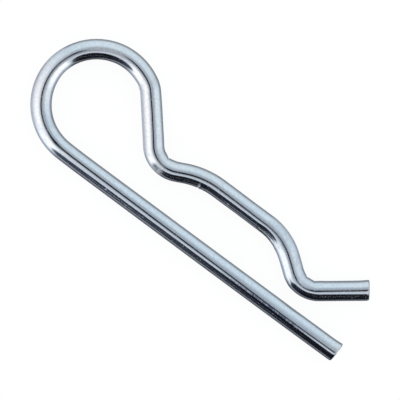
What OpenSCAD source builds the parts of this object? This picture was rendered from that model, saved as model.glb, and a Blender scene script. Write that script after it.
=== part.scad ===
// Hairpin cotter: a spring clip bent from one length of round wire.
// Its straight leg goes through the cross hole of a shaft, and its bowed arm grips the shaft's outside.
// The wire lies flat. The leg's axis is along X with the free end at +X, and the arm is on its +Y side.
// The origin is on the leg's axis, where the axis of the gripped shaft crosses it.

/* [Wire] */
// Diameter of the round wire
wire_d = 3.76; // [2.5:0.01:5]
// Radius that rounds the rims of the two cut ends
rim_r = 0.3; // [0.1:0.05:0.8]
// Length over all, from the loop's crown to the cut end of the leg
overall_l = 74.6; // [66:0.1:110]

/* [Loop] */
// Inside diameter of the spring loop
loop_d = 16.9; // [13:0.1:24]
// Straight stretch between the loop and the tighter bend at its shoulder
shoulder_l = 0.3; // [0.2:0.1:3]
// Inside radius of the shoulder's bend
shoulder_r = 3.1; // [1.5:0.1:5]
// Angle that the shoulder's bend turns
shoulder_a = 24; // [12:1:34]

/* [Seat] */
// Diameter of the largest shaft that fits under the arm
shaft_d = 19.05; // [16:0.05:28]
// Length of the seat's top, between the corners of the bends at its ends
seat_l = 18.4; // [12:0.1:30]
// Slope of the seat's side near the loop, in degrees
rise_a = 26.1; // [18:0.1:34]
// Slope of the seat's side near the tip, in degrees
drop_a = 37.9; // [28:0.1:48]
// Inside radius of the seat's bend near the loop
near_r = 13.5; // [5:0.1:18]
// Inside radius of the seat's bend near the tip
far_r = 9.2; // [3:0.1:14]

/* [Waist] */
// Clear gap between the leg and the arm at the bend near the loop
waist_gap = 4.9; // [2.5:0.1:6]
// Inside radius of the bend near the loop
waist_r = 3.2; // [1.5:0.1:5]
// Slope of the neck that comes down from the loop, in degrees
neck_a = 50.5; // [42:0.1:60]

/* [Throat] */
// Clear gap between the leg and the arm at the bend near the tip
throat_gap = 2.5; // [0.5:0.1:4]
// Inside radius of the bend near the tip
throat_r = 2.9; // [1.5:0.1:5]
// Slope of the tip that flares away from the leg, in degrees
tip_a = 37.2; // [25:0.1:50]
// Length of the flared tip past its bend
tip_l = 9.2; // [4:0.1:16]

/* [Hidden] */
$fn = 72;
zinc = [0.78, 0.84, 0.89];

// A bend is a hair slimmer than the straights beside it, and its ends lap inside them
bend_slim = 0.01;
bend_lap_a = 0.4;
// Shortest straight stretch that two bends leave between them
least_l = 0.2;

// Radii of the wire and of its centre line in the bends next to the leg
wire_r = wire_d / 2;
loop_cr = loop_d / 2 + wire_r;
shoulder_cr = shoulder_r + wire_r;
waist_cr = waist_r + wire_r;
throat_cr = throat_r + wire_r;

// Distance from a corner of the centre line to where its bend starts, and the radius that fills a distance
function setback(r, a) = r * tan(a / 2);
function radius_for(l, a) = l / tan(a / 2);

// Height of the corner of a bend between slopes a and b that clears the leg by gap
function corner_y(gap, r, a, b) = gap + wire_d + r - r * cos((a - b) / 2) / cos((a + b) / 2);

// Corners of the arm's centre line, from the loop to the tip
seat_y = shaft_d / 2 + wire_r;
waist_y = corner_y(waist_gap, waist_cr, neck_a, rise_a);
throat_y = corner_y(throat_gap, throat_cr, drop_a, tip_a);
near_corner = [-seat_l / 2, seat_y];
far_corner = [seat_l / 2, seat_y];
waist_corner = near_corner - (seat_y - waist_y) * [1 / tan(rise_a), 1];
throat_corner = far_corner + (seat_y - throat_y) * [1 / tan(drop_a), -1];

// What the waist's and the throat's bends leave of the seat's two sides, which limits the seat's own bends
rise_left = norm(near_corner - waist_corner) - setback(waist_cr, neck_a + rise_a) - least_l;
drop_left = norm(throat_corner - far_corner) - setback(throat_cr, drop_a + tip_a) - least_l;
near_cr = min(near_r + wire_r, radius_for(rise_left, rise_a));
far_cr = min(far_r + wire_r, radius_for(drop_left, drop_a));

// Way along the neck, and away from the loop square to it
neck_dir = [cos(neck_a), -sin(neck_a)];
neck_out = [sin(neck_a), cos(neck_a)];

// The same two ways for the straight stretch at the loop's shoulder
shoulder_dir = [cos(neck_a - shoulder_a), -sin(neck_a - shoulder_a)];
shoulder_out = [sin(neck_a - shoulder_a), cos(neck_a - shoulder_a)];

// Start of the neck, seen from the loop's centre
neck_reach = (loop_cr - shoulder_cr) * shoulder_out + shoulder_l * shoulder_dir + shoulder_cr * neck_out;

// The loop touches the leg's line, and lies where the shoulder's bend ends on the neck's line
loop_x = waist_corner.x + ((waist_corner.y - loop_cr) * neck_out.y - neck_reach * neck_out) / neck_out.x;
neck_start = [loop_x, loop_cr] + neck_reach;

// Straight stretches between the bends
leg_l = overall_l - loop_cr - wire_r;
neck_l = (waist_corner - neck_start) * neck_dir - setback(waist_cr, neck_a + rise_a);
rise_l = rise_left + least_l - setback(near_cr, rise_a);
top_l = seat_l - setback(near_cr, rise_a) - setback(far_cr, drop_a);
drop_l = drop_left + least_l - setback(far_cr, drop_a);

// The wire's route from the leg's end: a straight length, then a bend's centre-line radius and its turn.
// A turn is positive to the left, seen from above.
route = [
    [leg_l - rim_r, loop_cr, shoulder_a - neck_a - 180],
    [shoulder_l, shoulder_cr, -shoulder_a],
    [neck_l, waist_cr, neck_a + rise_a],
    [rise_l, near_cr, -rise_a],
    [top_l, far_cr, -drop_a],
    [drop_l, throat_cr, drop_a + tip_a],
];

// Straight stretch of wire along +X
module straight(l) {
    rotate([0, 90, 0])
        cylinder(h = l, r = wire_r);
}

// Bent stretch of wire that starts along +X
module bend(r, a) {
    start_a = a > 0 ? -90 : 90 + a;
    translate([0, sign(a) * r, 0])
        rotate([0, 0, start_a - bend_lap_a])
            rotate_extrude(angle = abs(a) + 2 * bend_lap_a)
                translate([r, 0])
                    circle(wire_r - bend_slim);
}

// Moves its children to the end of a bend
module past_bend(r, a) {
    translate([0, sign(a) * r, 0])
        rotate([0, 0, a])
            translate([0, -sign(a) * r, 0])
                children();
}

// Last stretch of wire before a square cut, with its rim rounded
module cut_end() {
    rotate([0, 90, 0])
        rotate_extrude() {
            square([wire_r - rim_r, rim_r]);
            translate([wire_r - rim_r, 0])
                intersection() {
                    circle(rim_r);
                    square(rim_r);
                }
        }
}

// The route from its step i on, with the tip after its last bend
module wire_from(i) {
    if (i < len(route)) {
        step = route[i];
        straight(step[0]);
        translate([step[0], 0, 0]) {
            bend(step[1], step[2]);
            past_bend(step[1], step[2])
                wire_from(i + 1);
        }
    } else {
        straight(tip_l - rim_r);
        translate([tip_l - rim_r, 0, 0])
            cut_end();
    }
}

module hairpin() {
    color(zinc)
        translate([loop_x + leg_l - rim_r, 0, 0]) {
            cut_end();
            rotate([0, 0, 180])
                wire_from(0);
        }
}

hairpin();
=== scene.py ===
"""Looks of the hairpin cotter: one bent, zinc plated wire on a pale floor, inside a light tent."""

import math

import bmesh
import bpy
import numpy as np
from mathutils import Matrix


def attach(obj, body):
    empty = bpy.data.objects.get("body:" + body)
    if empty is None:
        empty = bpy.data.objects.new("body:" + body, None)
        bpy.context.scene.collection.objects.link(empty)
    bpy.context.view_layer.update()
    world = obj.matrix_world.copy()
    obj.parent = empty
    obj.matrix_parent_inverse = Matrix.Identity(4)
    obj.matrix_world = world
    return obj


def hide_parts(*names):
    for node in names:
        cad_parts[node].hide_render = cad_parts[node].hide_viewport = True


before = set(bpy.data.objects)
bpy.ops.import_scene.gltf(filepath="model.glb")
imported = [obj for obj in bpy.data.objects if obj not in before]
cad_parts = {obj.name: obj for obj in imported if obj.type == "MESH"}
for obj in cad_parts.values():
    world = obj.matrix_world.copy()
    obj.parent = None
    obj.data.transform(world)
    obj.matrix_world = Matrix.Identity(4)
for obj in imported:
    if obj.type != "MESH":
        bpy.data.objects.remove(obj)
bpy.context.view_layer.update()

MM = 0.001
UP = (0, 0, 1)

# The wire's route, in mm and degrees, as the part's source has it.
# It runs from the leg's free end to the tip, and a positive bend turns left.
WIRE_R = 1.88
LEG_END_X = 29.6907
ROUTE = [
    (62.39, 10.33, -206.5),  # leg and loop
    (0.3, 4.98, -24.0),  # shoulder
    (9.9051, 5.08, 76.6),  # neck and waist
    (1.4971, 15.38, -26.1),  # rise and near end of the seat
    (11.0308, 11.08, -37.9),  # seat and its far end
    (2.93, 4.78, 75.1),  # drop and throat
]
TIP_L = 9.2

# Stations are arc lengths from the leg's free end, up to the whole wire's length to the micron.
BENT_L = sum(length + radius * math.radians(abs(turn)) for length, radius, turn in ROUTE)
WIRE_L = round(BENT_L + TIP_L, 3)

# Mesh density: points around the wire, and steps along it in mm. The finer steps go on for a reach
# past each bend and each mark whose half length is short. The rings on an end face are shares of
# its flat part's radius.
AROUND = 88
STEP_STRAIGHT = 0.34
STEP_BEND = 0.17
STEP_MARK = 0.07
BEND_REACH = 0.4
MARK_REACH = 0.7
SHORT_MARK = 1
RIM_STEPS = 7
FACE_RINGS = (0.12, 0.28, 0.44, 0.6, 0.76, 0.9, 0.97)

# Width in the wire's plane, as a share of the round wire's, by station:
# bending swells the wire before each bend and thins it in the bend.
WIDTH = [
    (0, 1.005),
    (20, 1.005),
    (50, 0.99),
    (60, 0.99),
    (64, 1.01),
    (72, 1.045),
    (77, 1.035),
    (80, 1.0),
    (88, 1.0),
    (100, 1.01),
    (104, 1.035),
    (109, 1.035),
    (113, 1.045),
    (116, 0.965),
    (118, 0.985),
    (128, 1.0),
    (134, 0.985),
    (140, 1.01),
    (145, 1.03),
    (149, 1.035),
    (152, 0.965),
    (155, 0.985),
    (160, 0.985),
    (163.9, 1.0),
]

# How far the wire strays from its route to the left, in mm, by station
STRAY = [
    (0, 0.0),
    (10, 0.05),
    (30, 0.06),
    (58, 0.03),
    (61, 0.0),
    (64, -0.13),
    (67, -0.19),
    (73, -0.19),
    (77, -0.14),
    (80, -0.06),
    (84, -0.1),
    (89, -0.09),
    (93, -0.04),
    (100, 0.03),
    (103, 0.11),
    (112, 0.12),
    (115, 0.02),
    (119, -0.02),
    (130, 0.0),
    (136, -0.04),
    (139, -0.05),
    (142, -0.06),
    (147, 0.02),
    (151, -0.06),
    (163.9, -0.08),
]

# Tables by station have their corners rounded over EASE_L mm. The rounding is worked out in
# steps of EASE_STEP mm, and reaches this many times EASE_L each way, inside a wider margin.
EASE_L = 1.2
EASE_STEP = 0.1
EASE_REACH = 3
EASE_MARGIN = 5

# Patches that the tools left dull: station, half length, angle, half angle, strength.
# Angle 0 is the left side of the route, 90 the top and 180 the right side. A patch is flat along
# the wire and falls off at its ends by this power.
PATCH_POWER = 4
DULL = [
    (36.0, 27.0, 52, 3, 0.4),
    (51.8, 0.16, 58, 6, 1.0),
    (81.0, 2.6, 30, 44, 0.7),
    (90.0, 4.6, 91, 9, 0.45),
    (115.7, 1.1, 150, 40, 1.0),
    (115.8, 1.4, 50, 36, 0.4),
    (123.7, 0.3, 146, 28, 0.9),
    (130.3, 0.17, 137, 7, 1.0),
    (140.0, 2.2, 138, 14, 0.25),
    (141.5, 3.0, 34, 42, 0.8),
    (146.6, 2.4, 24, 36, 0.5),
    (151.6, 1.6, 60, 34, 0.5),
]

# Patches where the zinc is darkened, in the same form: stains, painted shade on the far bend's
# outer side, and a blue-grey spot at the waist's crease.
# A strength over 1 leaves no gaps in the stain's blotches, as on the two rims.
STAINS_AND_PAINTED_SHADE = [
    (14.5, 8.0, 72, 11, 1.4),
    (115.35, 0.5, 128, 15, 0.8),
    (24.0, 1.6, 70, 8, 0.5),
    # These two are painted shade: a darker blue-grey on the far bend's outer side.
    (142.0, 3.0, 40, 38, 0.14),
    (147.2, 2.4, 42, 38, 0.24),
    (0.0, 0.3, 42, 34, 3.0),
    (163.96, 0.3, 138, 34, 3.0),
]
STAIN_AND_SHADE_MOST = 3

# Patches scored along the wire, in the same form
SCORED = [
    (28.0, 32.0, 46, 24, 0.3),
    (88.5, 6.0, 136, 20, 0.6),
    (121.0, 4.0, 138, 22, 0.7),
    (132.0, 7.0, 138, 24, 0.6),
    (139.6, 2.6, 138, 26, 1.0),
    (158.0, 5.0, 138, 24, 0.3),
]

# Share of the warm tint in the zinc, by station
WARMTH = [
    (0, 0.9),
    (4, 0.1),
    (50, 0.2),
    (64, 0.5),
    (78, 0.6),
    (94, 0.8),
    (104, 0.8),
    (126, 0.6),
    (137, 0.1),
    (160, 0.1),
    (163.9, 0.9),
]

# Dents and humps that the bending tools left, each in mm and degrees:
# station, angle around the wire, half length, half angle, height
LEFT, TOP, RIGHT = 0, 90, 180
MARKS = [
    (115.95, LEFT, 0.2, 30, -0.2),
    (114.6, LEFT, 0.7, 40, 0.06),
    (117.6, LEFT, 0.9, 40, 0.08),
    (151.0, LEFT, 0.28, 32, -0.12),
    (152.2, LEFT, 0.5, 36, 0.05),
    (153.5, LEFT, 0.28, 32, -0.09),
    (149.6, LEFT, 0.8, 40, 0.04),
    (155.0, LEFT, 0.8, 40, 0.04),
    (151.7, 80, 1.4, 15, -0.05),
    (115.9, 145, 0.2, 9, -0.05),
    (11.5, 162, 1.5, 13, -0.09),
    (64.2, 92, 1.5, 11, -0.026),
    (123.6, RIGHT, 0.16, 40, -0.06),
    (124.0, RIGHT, 0.22, 40, 0.06),
    (143.0, 160, 0.9, 45, 0.035),
    (144.4, 160, 1.9, 45, 0.07),
    (150.3, 155, 0.5, 45, 0.06),
    (100.9, RIGHT, 0.5, 36, 0.06),
    (99.6, RIGHT, 0.7, 36, -0.03),
    (130.3, 136, 0.13, 4, -0.03),
    (51.8, 58, 0.12, 4, -0.03),
    (103.4, 82, 0.1, 5, -0.02),
]

# Drawn wire isn't quite round: how far its highest line lies to the left, by station
LEAN = [
    (0, 0.17),
    (5, 0.25),
    (10, 0.3),
    (16, 0.28),
    (22, 0.17),
    (31, 0.12),
    (40, 0.09),
    (46, 0.02),
    (58, -0.03),
    (64, -0.06),
    (70, -0.03),
    (76, -0.1),
    (82, -0.15),
    (86, -0.05),
    (92, 0.0),
    (102, 0.0),
    (106, 0.08),
    (112, 0.02),
    (120, -0.08),
    (126, -0.05),
    (132, -0.08),
    (138.5, -0.16),
    (144, -0.06),
    (157, 0.0),
    (163.9, 0.02),
]
LEAN_HALF_A = 20

# The sheared ends: a tighter rim than the source's, one side of it flared out as a burr
# and the other rolled over, each fading as a power of its share around the rim
RIM_R = 0.18
BURR_H = 0.1
BURR_L = 0.9
ROLL_H = 0.12
ROLL_L = 0.3
END_POWER = 3

# Their torn faces: slope, depth and reach of the torn side, and the waves that tear it
FACE_TILT = 0.05
FACE_ROUGH = 0.07
TORN_SIDE = 0.6
TORN_SEED = 7
TORN_WAVES = 14
TORN_PITCH = (9, 5)
TORN_PHASE = 6.28

# Photograph: its centre in the part's plane, its width there, how it is turned, and the camera
VIEW_X = -7.08
VIEW_Y = 7.64
VIEW_WIDTH = 73.3
VIEW_TURN = 36.5
LENS = 300
SENSOR = 36

# Floor: half its width, the gap under the wire, and its paper's own colour and glow
FLOOR_HALF = 4000
FLOOR_GAP = 0.02
PAPER_SHADE = 0.12
PAPER_GLOW = 0.91

# Light tent: a ball with a round mouth at its top, whose half angle is in degrees
TENT_R = 215
TENT_SEGMENTS = 96
TENT_RINGS = 64
TENT_GAIN = 1.22
TENT_MOUTH = 18

# White room outside the tent. A dark oval lens and then a grey roof show through the mouth.
# Each pair of angles from straight overhead is where one starts to give way to the next.
ROOM_WHITE = 0.982
LENS_DARK = (0.004, 0.005, 0.007)
LENS_A = (6.6, 9.4)
LENS_SHAPE = (1.25, 0.77, 1)
ROOF = (0.38, 0.42, 0.48)
ROOF_A = (27, 31)

# Dark opening in the tent's wall: azimuth and angle down of its middle, half sizes, how much it
# sags and flares along the azimuth, and how square its sides are. Then its colour by azimuth,
# and its share from the middle to the rim.
DARK_AT = (255, 75.5)
DARK_HALF = (42.2, 37.5)
DARK_TILT = 0.1
DARK_FLARE = 0.3
DARK_POWER = 4
DARK = [
    (214, (0.07, 0.08, 0.11)),
    (226, (0.026, 0.032, 0.048)),
    (235, (0.014, 0.017, 0.026)),
    (246, (0.005, 0.006, 0.01)),
]
DARK_FALL = [
    (0, (1, 1, 1)),
    (0.55, (1, 1, 1)),
    (0.75, (0.96, 0.96, 0.96)),
    (0.88, (0.86, 0.86, 0.86)),
    (1.0, (0, 0, 0)),
]

# Tent walls, by azimuth in the photograph. Red is the share of the side wall,
# green of the dark opening, blue of the white sheets beside it, and the rest is plain wall.
PLAIN = (0, 0, 0)
SIDE = (1, 0, 0)
SHEET = (0, 0, 1)
OPENING = (0, 1, 0)
WALLS = [
    (0, (0, 0, 0.3)),
    (40, PLAIN),
    (118, PLAIN),
    (150, (0.5, 0, 0)),
    (172, SIDE),
    (187, SIDE),
    (199, SHEET),
    (212, SHEET),
    (222, OPENING),
    (294, OPENING),
    (303, SHEET),
    (335, SHEET),
    (348, (0, 0, 0.4)),
    (360, (0, 0, 0.3)),
]

# How much dimmer the walls are at their seams, by azimuth
SEAMS = [
    (0, (1, 1, 1)),
    (14, (0.97, 0.97, 0.98)),
    (24, (0.88, 0.89, 0.91)),
    (33, (0.87, 0.88, 0.9)),
    (41, (1, 1, 1)),
    (70, (1, 1, 1)),
    (90, (1.05, 1.04, 1.03)),
    (112, (1, 1, 1)),
    (127, (0.84, 0.85, 0.88)),
    (142, (1, 0.98, 0.98)),
    (152, (1, 0.955, 0.95)),
    (168, (1, 0.98, 0.98)),
    (180, (1, 1, 1)),
]

# Brightness of each kind of wall, by angle down from straight overhead
PLAIN_FALL = [
    (0, (0.34, 0.38, 0.43)),
    (12, (0.34, 0.38, 0.43)),
    (23, (0.37, 0.42, 0.48)),
    (30, (0.4, 0.46, 0.52)),
    (36, (0.47, 0.55, 0.62)),
    (42, (0.56, 0.65, 0.72)),
    (49, (0.6, 0.7, 0.77)),
    (75, (0.6, 0.7, 0.77)),
    (92, (0.57, 0.66, 0.73)),
    (105, (0.43, 0.49, 0.54)),
    (118, (0.27, 0.31, 0.34)),
    (128, (0.21, 0.24, 0.26)),
    (150, (0.2, 0.23, 0.25)),
    (180, (0.15, 0.16, 0.18)),
]
SIDE_FALL = [
    (0, (0.34, 0.38, 0.43)),
    (12, (0.41, 0.44, 0.48)),
    (20, (0.54, 0.56, 0.6)),
    (27, (0.69, 0.7, 0.72)),
    (34, (0.86, 0.87, 0.88)),
    (42, (1.0, 1.0, 1.02)),
    (60, (0.99, 1.0, 1.02)),
    (68, (0.9, 0.92, 0.96)),
    (76, (0.8, 0.82, 0.87)),
    (86, (0.7, 0.72, 0.77)),
    (98, (0.53, 0.56, 0.62)),
    (108, (0.46, 0.49, 0.56)),
    (126, (0.42, 0.45, 0.52)),
    (150, (0.42, 0.44, 0.5)),
    (180, (0.3, 0.32, 0.36)),
]
SHEET_FALL = [
    (0, (0.34, 0.38, 0.43)),
    (12, (0.44, 0.45, 0.49)),
    (18, (0.54, 0.55, 0.58)),
    (25, (0.65, 0.66, 0.69)),
    (31, (0.81, 0.82, 0.84)),
    (38, (0.96, 0.97, 0.98)),
    (44, (1.02, 1.03, 1.04)),
    (88, (0.98, 1.0, 1.03)),
    (100, (0.68, 0.73, 0.8)),
    (110, (0.5, 0.55, 0.63)),
    (122, (0.33, 0.37, 0.44)),
    (150, (0.26, 0.29, 0.34)),
    (180, (0.2, 0.22, 0.25)),
]
OPENING_FALL = [
    (0, (0.34, 0.38, 0.43)),
    (12, (0.38, 0.41, 0.47)),
    (26, (0.52, 0.56, 0.63)),
    (40, (0.54, 0.59, 0.67)),
    (80, (0.52, 0.57, 0.65)),
    (100, (0.28, 0.31, 0.36)),
    (113, (0.19, 0.21, 0.25)),
    (126, (0.11, 0.12, 0.14)),
    (150, (0.07, 0.08, 0.09)),
    (180, (0.06, 0.07, 0.08)),
]

# Noise on the unbent wire, whose first axis runs along it: squeeze, scale per mm, detail, roughness
EVEN = (1, 1, 1)
CLOUD = ((0.5, 1, 1), 0.45, 3, 0.5)
GRAIN = (EVEN, 6.0, 3, 0.6)
DIE_LINES = ((0.05, 1, 1), 4.5, 3, 0.6)
SPECKS = (EVEN, 3.2, 1, 0.5)
STREAKS = ((0.02, 1, 1), 3.0, 2, 0.5)
SCORES = ((0.02, 1, 1), 2.8, 0, 0.5)
MOTTLE = (EVEN, 2.2, 2, 0.6)
BLOTCHES = (EVEN, 1.6, 3, 0.6)
TEARS = ((1, 0.6, 3), 2.5, 4, 0.65)
NOISE_MIDDLE = 0.5

# What each noise becomes: black to white, or a factor on the colour
SPECK_RAMP = [(0.68, (0, 0, 0)), (0.75, (1, 1, 1))]
STREAK_RAMP = [(0.52, (0, 0, 0)), (0.68, (1, 1, 1))]
MOTTLE_RAMP = [(0.3, (0.9, 0.9, 0.9)), (0.7, (1.08, 1.08, 1.08))]
BLOTCH_RAMP = [(0.4, (0.35, 0.35, 0.35)), (0.6, (1, 1, 1))]

# Colours, roughness, and depths of relief in metres
ZINC_COOL = (0.77, 0.81, 0.85)
ZINC_WARM = (0.82, 0.825, 0.83)
# Dark blue of the stains and of the painted shade on the far bend.
STAIN_AND_SHADE_COLOUR = (0.11, 0.14, 0.21)
SMOOTHEST = 0.06
ROUGHEST = 0.12
TORN_ROUGH = 0.2
DULL_ROUGH = 0.5
SPECK_ROUGH = 0.3
STREAK_ROUGH = 0.05
SCORE_ROUGH = 0.4
GRAIN_H = 0.8e-6
DIE_LINE_H = 1.2e-6
SCORE_H = 300e-6
SCORE_POWER = 3
TORN_H = 300e-6


def route_pieces():
    """Straights and bends by turns: start station, start point, start heading and curvature."""
    pieces = []
    station, x, y, heading = 0.0, LEG_END_X, 0.0, math.pi
    for length, radius, turn in ROUTE + [(TIP_L, None, 0)]:
        pieces.append((station, x, y, heading, 0.0))
        station += length
        x += length * math.cos(heading)
        y += length * math.sin(heading)
        if radius is None:
            break
        curve = math.copysign(1 / radius, turn)
        pieces.append((station, x, y, heading, curve))
        after = heading + math.radians(turn)
        station += abs(math.radians(turn)) * radius
        x += (math.sin(after) - math.sin(heading)) / curve
        y -= (math.cos(after) - math.cos(heading)) / curve
        heading = after
    return np.array(pieces)


def centreline(stations):
    """Points and headings of the centreline at these stations."""
    pieces = route_pieces()
    which = np.searchsorted(pieces[:, 0], stations, side="right") - 1
    start, x, y, heading, curve = pieces[np.clip(which, 0, None)].T
    run = stations - start
    after = heading + curve * run
    bent = curve != 0
    safe = np.where(bent, curve, 1)
    dx = np.where(bent, (np.sin(after) - np.sin(heading)) / safe, run * np.cos(heading))
    dy = np.where(bent, (np.cos(heading) - np.cos(after)) / safe, run * np.sin(heading))
    return x + dx, y + dy, after


def wall_stations():
    """Stations of the rings on the wire's wall, closer in bends and at marks."""
    starts = route_pieces()[:, 0]
    bends = list(zip(starts[1::2], starts[2::2]))
    short_marks = [(at, half_l) for at, _, half_l, _, _ in MARKS if half_l < SHORT_MARK]
    ends = (RIM_R, WIRE_L - RIM_R)
    fine_ends = (ends[0] + BURR_L, ends[1] - BURR_L)
    found = [ends[0]]
    while found[-1] < ends[1]:
        s = found[-1]
        step = STEP_STRAIGHT
        if any(a - BEND_REACH <= s <= b + BEND_REACH for a, b in bends):
            step = STEP_BEND
        if any(abs(s - at) < half_l + MARK_REACH for at, half_l in short_marks):
            step = STEP_MARK
        if s < fine_ends[0] or s > fine_ends[1]:
            step = STEP_MARK
        found.append(s + step)
    found[-1] = ends[1]
    return np.array(found)


def eased(table, s):
    """A table's value at these stations, with its corners rounded off."""
    margin, reach = EASE_MARGIN * EASE_L, EASE_REACH * EASE_L
    grid = np.arange(-margin, WIRE_L + margin, EASE_STEP)
    gap = np.arange(-reach, reach, EASE_STEP)
    blur = np.exp(-((gap / EASE_L) ** 2) / 2)
    values = np.interp(grid, *zip(*table))
    return np.interp(s, grid, np.convolve(values, blur / blur.sum(), "same"))


def around_gap(angle, centre):
    """Degrees from a centre in degrees to an angle in radians, the short way round."""
    return (np.degrees(angle) - centre + 180) % 360 - 180


def relief(s, angle):
    """Height over the round wire of dents, humps, the lean of its top and the ends' burrs."""
    height = np.zeros(np.broadcast(s, angle).shape)
    for at, side, half_l, half_a, h in MARKS:
        gap = around_gap(angle, side)
        height += h * np.exp(-(((s - at) / half_l) ** 2) - (gap / half_a) ** 2)
    turn = around_gap(angle, TOP) / LEAN_HALF_A
    lean = eased(LEAN, s) * math.radians(LEAN_HALF_A)
    height -= lean * turn * np.exp(-(turn**2) / 2)
    for from_end, side in ((s, -1), (WIRE_L - s, 1)):
        burr = (1 + side * np.cos(angle)) / 2
        height += BURR_H * burr**END_POWER * np.exp(-((from_end / BURR_L) ** 2))
        height -= ROLL_H * (1 - burr) ** END_POWER * np.exp(-((from_end / ROLL_L) ** 2))
    return height


def patches(table, s, angle, most=1):
    """How far each point lies in a table's patches, from 0 to most."""
    share = np.zeros(np.broadcast(s, angle).shape)
    for at, half_l, side, half_a, strength in table:
        gap = around_gap(angle, side) / half_a
        share += strength * np.exp(-(((s - at) / half_l) ** PATCH_POWER) - gap**2)
    return np.clip(share, 0, most)


def wire_rings():
    """Station, radius and end-face share of every ring, from one end's middle to the other's."""
    wall = wall_stations()
    turn = np.linspace(0, math.pi / 2, RIM_STEPS + 1)[:-1]
    flat_r = np.array(FACE_RINGS) * (WIRE_R - RIM_R)
    rim_s = RIM_R * (1 - np.cos(turn))
    rim_r = WIRE_R - RIM_R + RIM_R * np.sin(turn)
    s_in = np.concatenate([np.zeros(len(flat_r)), rim_s])
    r_in = np.concatenate([flat_r, rim_r])
    cut_in = np.concatenate([np.ones(len(flat_r)), np.cos(turn) ** 2])
    s = np.concatenate([s_in, wall, (WIRE_L - s_in)[::-1]])
    r = np.concatenate([r_in, np.full(len(wall), WIRE_R), r_in[::-1]])
    cut = np.concatenate([cut_in, np.zeros(len(wall)), cut_in[::-1]])
    return s, r, cut


def torn_face(s, r, angle, cut):
    """How far the sheared faces stand out along the wire."""
    rng = np.random.default_rng(TORN_SEED)
    across = r / WIRE_R * np.cos(angle)
    rise = r / WIRE_R * np.sin(angle)
    rough = np.zeros_like(across)
    for _ in range(TORN_WAVES):
        kx, ky = (rng.uniform(-pitch, pitch) for pitch in TORN_PITCH)
        rough += np.sin(kx * across + ky * rise + rng.uniform(0, TORN_PHASE)) / TORN_WAVES
    end = np.where(s < WIRE_L / 2, -1, 1)
    torn = np.clip(TORN_SIDE - across * end, 0, 1)
    out = FACE_TILT * across * end + FACE_ROUGH * rough * torn
    return cut * out * end


def wire_points():
    """The bent wire's points, ring by ring, their places on the unbent wire, and their shares."""
    s, r, cut = (v[:, None] for v in wire_rings())
    angle = (np.arange(AROUND) * 2 * math.pi / AROUND)[None, :]
    bulk = r + relief(s, angle) * r / WIRE_R
    side = bulk * np.cos(angle) * eased(WIDTH, s) + eased(STRAY, s)
    rise = bulk * np.sin(angle)
    along = torn_face(s, r, angle, cut)
    x, y, heading = (v[:, None] for v in centreline(s[:, 0]))
    px = x - side * np.sin(heading) + along * np.cos(heading)
    py = y + side * np.cos(heading) + along * np.sin(heading)
    points = np.stack([px, py, rise], -1)
    unbent = np.stack([s + along, r * np.cos(angle), r * np.sin(angle)], -1)
    shares = {
        "sheared": np.broadcast_to(cut, (len(s), AROUND)),
        "dull": patches(DULL, s, angle),
        # Share of stains, and of painted shade on the far bend's outer side.
        "stain_and_shade": patches(STAINS_AND_PAINTED_SHADE, s, angle, STAIN_AND_SHADE_MOST) * (1 - cut),
        "scored": patches(SCORED, s, angle),
        "warmth": np.broadcast_to(eased(WARMTH, s), (len(s), AROUND)),
    }
    return points, unbent, shares


def wire_faces(rings):
    """Faces between the rings, and fans round the two points after them that close the ends."""
    first, last = rings * AROUND, rings * AROUND + 1
    near = np.arange(AROUND)
    beside = (near + 1) % AROUND
    faces = []
    for i in range(rings - 1):
        a, b = i * AROUND, (i + 1) * AROUND
        faces += np.stack([a + near, b + near, b + beside, a + beside], -1).tolist()
    end = (rings - 1) * AROUND
    faces += np.stack([np.full(AROUND, first), near, beside], -1).tolist()
    faces += np.stack([np.full(AROUND, last), end + beside, end + near], -1).tolist()
    return faces


def wire_mesh():
    """The bent wire as one closed mesh, with its unbent place and its shares on each point."""
    points, unbent, shares = wire_points()
    faces = wire_faces(len(points))
    middles = [points[0].mean(0), points[-1].mean(0)]
    points = np.concatenate([points.reshape(-1, 3), middles])
    unbent = np.concatenate([unbent.reshape(-1, 3), [[0, 0, 0], [WIRE_L, 0, 0]]])

    mesh = bpy.data.meshes.new("bent_wire")
    mesh.from_pydata((points * MM).tolist(), [], faces)
    mesh.validate()
    place = mesh.attributes.new("unbent", "FLOAT_VECTOR", "POINT")
    place.data.foreach_set("vector", unbent.astype(np.float32).ravel())
    for name, values in shares.items():
        share = mesh.attributes.new(name, "FLOAT", "POINT")
        values = np.concatenate([values.ravel(), [values[0, 0], values[-1, 0]]])
        share.data.foreach_set("value", values.astype(np.float32))
    mesh.polygons.foreach_set("use_smooth", [True] * len(mesh.polygons))
    mesh.update()
    return mesh


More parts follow.
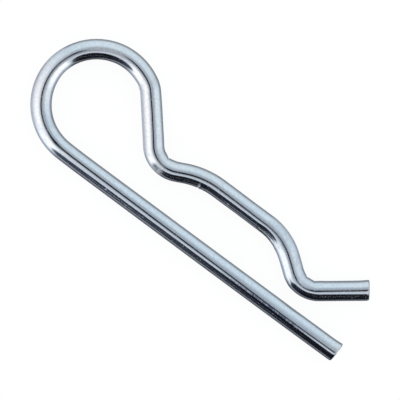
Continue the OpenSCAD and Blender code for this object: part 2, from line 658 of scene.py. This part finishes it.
class Nodes:
    """A node tree with short ways to add to it."""

    MIX_A, MIX_B, MIX_RESULT = 6, 7, 2  # the Mix node's colour sockets

    def __init__(self, tree):
        self.tree = tree
        tree.nodes.clear()

    def add(self, kind, **settings):
        """A new node with these settings."""
        node = self.tree.nodes.new(kind)
        for name, value in settings.items():
            setattr(node, name, value)
        return node

    def set(self, socket, value):
        """Link a socket to another's output, or give it a constant."""
        if isinstance(value, bpy.types.NodeSocket):
            self.tree.links.new(value, socket)
        else:
            socket.default_value = value

    def math(self, operation, a, b=None):
        """Result of an operation on one or two values."""
        node = self.add("ShaderNodeMath", operation=operation)
        self.set(node.inputs[0], a)
        if b is not None:
            self.set(node.inputs[1], b)
        return node.outputs[0]

    def ramp(self, fac, stops, top=1.0):
        """Colour by a share, from stops whose places are shares of top."""
        node = self.add("ShaderNodeValToRGB")
        steps = node.color_ramp.elements
        while len(steps) < len(stops):
            steps.new(0.5)
        for step, (at, colour) in zip(steps, stops):
            step.position = at / top
            step.color = (*colour, 1)
        self.set(node.inputs["Fac"], fac)
        return node.outputs["Color"]

    def mix(self, fac, a, b):
        """Colour a where the share is 0, and b where it is 1."""
        node = self.add("ShaderNodeMix", data_type="RGBA")
        self.set(node.inputs["Factor"], fac)
        self.set(node.inputs[self.MIX_A], a)
        self.set(node.inputs[self.MIX_B], b)
        return node.outputs[self.MIX_RESULT]

    def angle_from(self, place, axis):
        """Angle between a place and an axis, as a share of a half turn."""
        unit = self.add("ShaderNodeVectorMath", operation="NORMALIZE")
        self.set(unit.inputs[0], place)
        dot = self.add("ShaderNodeVectorMath", operation="DOT_PRODUCT")
        self.set(dot.inputs[0], unit.outputs[0])
        length = math.dist(axis, (0, 0, 0))
        dot.inputs[1].default_value = [c / length for c in axis]
        return self.math("MULTIPLY", self.math("ARCCOSINE", dot.outputs["Value"]), 1 / math.pi)

    def times(self, a, b):
        """Product of two vectors or colours, part by part."""
        node = self.add("ShaderNodeVectorMath", operation="MULTIPLY")
        self.set(node.inputs[0], a)
        self.set(node.inputs[1], b)
        return node.outputs[0]

    def noise(self, place, squeeze, scale, detail, rough):
        """Noise over a place; a squeeze below 1 draws it out along that axis."""
        node = self.add("ShaderNodeTexNoise")
        self.set(node.inputs["Vector"], self.times(place, squeeze))
        self.set(node.inputs["Scale"], scale)
        self.set(node.inputs["Detail"], detail)
        self.set(node.inputs["Roughness"], rough)
        return node.outputs["Fac"]

    def bump(self, height, distance, normal=None):
        """Normal of a relief, over another relief's if there is one."""
        node = self.add("ShaderNodeBump")
        self.set(node.inputs["Height"], height)
        self.set(node.inputs["Distance"], distance)
        if normal is not None:
            self.set(node.inputs["Normal"], normal)
        return node.outputs["Normal"]


def zinc():
    """Bright zinc on drawn wire: drawing lines, grain, cloudy tint, tool marks and torn ends."""
    material = bpy.data.materials.new("zinc_plate")
    material.use_nodes = True
    n = Nodes(material.node_tree)
    unbent = n.add("ShaderNodeAttribute", attribute_name="unbent").outputs["Vector"]
    sheared, dull, stain_and_shade, scored, warmth = (
        n.add("ShaderNodeAttribute", attribute_name=name).outputs["Fac"]
        for name in ("sheared", "dull", "stain_and_shade", "scored", "warmth")
    )

    cloud = n.noise(unbent, *CLOUD)
    lines = n.noise(unbent, *DIE_LINES)
    specks = n.ramp(n.noise(unbent, *SPECKS), SPECK_RAMP)
    streaks = n.ramp(n.noise(unbent, *STREAKS), STREAK_RAMP)
    mottle = n.ramp(n.noise(unbent, *MOTTLE), MOTTLE_RAMP)
    blotches = n.ramp(n.noise(unbent, *BLOTCHES), BLOTCH_RAMP)

    warm = n.math("ADD", warmth, n.math("SUBTRACT", cloud, NOISE_MIDDLE))
    tint = n.times(n.ramp(warm, [(0, ZINC_COOL), (1, ZINC_WARM)]), mottle)
    # Darker blue where the zinc is stained, and painted shade on the far bend's outer side.
    tint = n.mix(n.math("MULTIPLY", stain_and_shade, blotches), tint, (*STAIN_AND_SHADE_COLOUR, 1))

    span = n.math("MULTIPLY", n.math("ADD", cloud, lines), (ROUGHEST - SMOOTHEST) / 2)
    rough = n.math("ADD", span, SMOOTHEST)
    streak_rough = n.math("ADD", n.math("MULTIPLY", scored, SCORE_ROUGH), STREAK_ROUGH)
    for share, gain in (
        (sheared, TORN_ROUGH),
        (dull, DULL_ROUGH),
        (specks, SPECK_ROUGH),
        (streaks, streak_rough),
    ):
        rough = n.math("ADD", rough, n.math("MULTIPLY", share, gain))

    scores = n.math("MULTIPLY", n.noise(unbent, *SCORES), n.math("POWER", scored, SCORE_POWER))
    tears = n.math("MULTIPLY", n.noise(unbent, *TEARS), sheared)
    normal = n.bump(lines, DIE_LINE_H)
    normal = n.bump(n.noise(unbent, *GRAIN), GRAIN_H, normal)
    normal = n.bump(scores, SCORE_H, normal)
    normal = n.bump(tears, TORN_H, normal)

    shader = n.add("ShaderNodeBsdfPrincipled")
    shader.inputs["Metallic"].default_value = 1
    n.set(shader.inputs["Base Color"], tint)
    n.set(shader.inputs["Roughness"], rough)
    n.set(shader.inputs["Normal"], normal)
    out = n.add("ShaderNodeOutputMaterial")
    n.set(out.inputs["Surface"], shader.outputs[0])
    return material


def paper():
    """Pale lit paper, on which a shadow is only a trace."""
    material = bpy.data.materials.new("floor_paper")
    material.use_nodes = True
    shader = material.node_tree.nodes["Principled BSDF"]
    shader.inputs["Base Color"].default_value = (PAPER_SHADE,) * 3 + (1,)
    shader.inputs["Roughness"].default_value = 1
    shader.inputs["Specular IOR Level"].default_value = 0
    shader.inputs["Emission Color"].default_value = (1, 1, 1, 1)
    shader.inputs["Emission Strength"].default_value = PAPER_GLOW
    return material


def dark_opening(n, turn, down):
    """How far out a place is from the dark opening's middle: 0 there and 1 on its rim."""
    across = n.math("SUBTRACT", turn, DARK_AT[0] / 360)
    sag = n.math("MULTIPLY", across, DARK_TILT * 360 / 180)
    under = n.math("SUBTRACT", n.math("SUBTRACT", down, DARK_AT[1] / 180), sag)
    across = n.math("MULTIPLY", across, 360 / DARK_HALF[0])
    flare = n.math("ADD", n.math("MULTIPLY", across, DARK_FLARE), 1)
    under = n.math("DIVIDE", n.math("MULTIPLY", under, 180 / DARK_HALF[1]), flare)
    under = n.math("MULTIPLY", under, under)
    across = n.math("POWER", n.math("ABSOLUTE", across), DARK_POWER)
    return n.math("ADD", under, across)


def tent_light():
    """Glow of the tent's walls: pale, white beside the dark opening, and dark in it."""
    material = bpy.data.materials.new("tent_walls")
    material.use_nodes = True
    n = Nodes(material.node_tree)
    place = n.add("ShaderNodeTexCoord").outputs["Object"]
    split = n.add("ShaderNodeSeparateXYZ")
    n.set(split.inputs[0], place)
    turn = n.math("ARCTAN2", split.outputs["Y"], split.outputs["X"])
    turn = n.math("FRACT", n.math("MULTIPLY", turn, 1 / (2 * math.pi)))
    down = n.angle_from(place, UP)

    walls = n.add("ShaderNodeSeparateColor")
    n.set(walls.inputs[0], n.ramp(turn, WALLS, 360))
    glow = n.ramp(down, PLAIN_FALL, 180)
    for share, fall in (("Red", SIDE_FALL), ("Blue", SHEET_FALL), ("Green", OPENING_FALL)):
        glow = n.mix(walls.outputs[share], glow, n.ramp(down, fall, 180))
    dark = n.ramp(dark_opening(n, turn, down), DARK_FALL)
    glow = n.times(glow, n.ramp(turn, SEAMS, 360))
    glow = n.mix(dark, glow, n.ramp(turn, DARK, 360))
    shader = n.add("ShaderNodeEmission")
    n.set(shader.inputs["Color"], glow)
    shader.inputs["Strength"].default_value = TENT_GAIN
    out = n.add("ShaderNodeOutputMaterial")
    n.set(out.inputs["Surface"], shader.outputs[0])
    material.cycles.emission_sampling = "NONE"
    return material


def add_object(name, mesh, material):
    """A new object in the scene."""
    obj = bpy.data.objects.new(name, mesh)
    bpy.context.scene.collection.objects.link(obj)
    mesh.materials.append(material)
    return obj


def wire():
    """The one piece, in place of the CAD solid."""
    piece = add_object("bent_wire", wire_mesh(), zinc())
    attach(piece, "root")
    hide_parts("hairpin")
    piece.visible_glossy = False


def floor():
    """Pale paper just under the wire."""
    mesh = bpy.data.meshes.new("floor")
    h, z = FLOOR_HALF * MM, -(WIRE_R + FLOOR_GAP) * MM
    corners = [(-h, -h, z), (h, -h, z), (h, h, z), (-h, h, z)]
    mesh.from_pydata(corners, [], [(0, 1, 2, 3)])
    obj = add_object("floor", mesh, paper())
    obj.visible_glossy = False


def tent():
    """A ball of soft light round the object, open at its top, that only its gloss sees."""
    bpy.ops.mesh.primitive_uv_sphere_add(
        segments=TENT_SEGMENTS, ring_count=TENT_RINGS, radius=TENT_R * MM
    )
    obj = bpy.context.object
    obj.name = "light_tent"
    obj.location = (VIEW_X * MM, VIEW_Y * MM, 0)
    obj.rotation_euler = (0, 0, math.radians(VIEW_TURN))
    mouth = TENT_R * MM * math.cos(math.radians(TENT_MOUTH))
    shell = bmesh.new()
    shell.from_mesh(obj.data)
    top = [v for v in shell.verts if v.co.z > mouth]
    bmesh.ops.delete(shell, geom=top, context="VERTS")
    shell.to_mesh(obj.data)
    shell.free()
    obj.data.materials.append(tent_light())
    obj.visible_camera = False
    obj.visible_diffuse = False
    obj.visible_shadow = False


def room():
    """White room outside the tent, with a grey roof and a dark lens straight overhead.

    The lens is an oval along the photograph's sides, so its place is turned before it is measured.
    """
    world = bpy.data.worlds.new("white_room")
    world.use_nodes = True
    n = Nodes(world.node_tree)
    place = n.add("ShaderNodeTexCoord").outputs["Generated"]
    turned = n.add("ShaderNodeVectorRotate", rotation_type="Z_AXIS")
    n.set(turned.inputs["Vector"], place)
    turned.inputs["Angle"].default_value = -math.radians(VIEW_TURN)
    place = n.times(turned.outputs[0], LENS_SHAPE)
    white = (ROOM_WHITE,) * 3
    roof = [(LENS_A[0], LENS_DARK), (LENS_A[1], ROOF), (ROOF_A[0], ROOF), (ROOF_A[1], white)]
    glow = n.add("ShaderNodeBackground")
    n.set(glow.inputs["Color"], n.ramp(n.angle_from(place, UP), roof, 180))
    out = n.add("ShaderNodeOutputWorld")
    n.set(out.inputs["Surface"], glow.outputs[0])
    bpy.context.scene.world = world


def camera():
    """Camera straight over the photograph's centre, with plain tones."""
    scene = bpy.context.scene
    data = bpy.data.cameras.new("camera")
    data.lens = LENS
    data.sensor_width = SENSOR
    obj = bpy.data.objects.new("camera", data)
    height = VIEW_WIDTH * LENS / SENSOR
    obj.location = (VIEW_X * MM, VIEW_Y * MM, height * MM)
    obj.rotation_euler = (0, 0, math.radians(VIEW_TURN))
    scene.collection.objects.link(obj)
    scene.camera = obj
    scene.view_settings.view_transform = "Standard"


wire()
floor()
tent()
room()
camera()
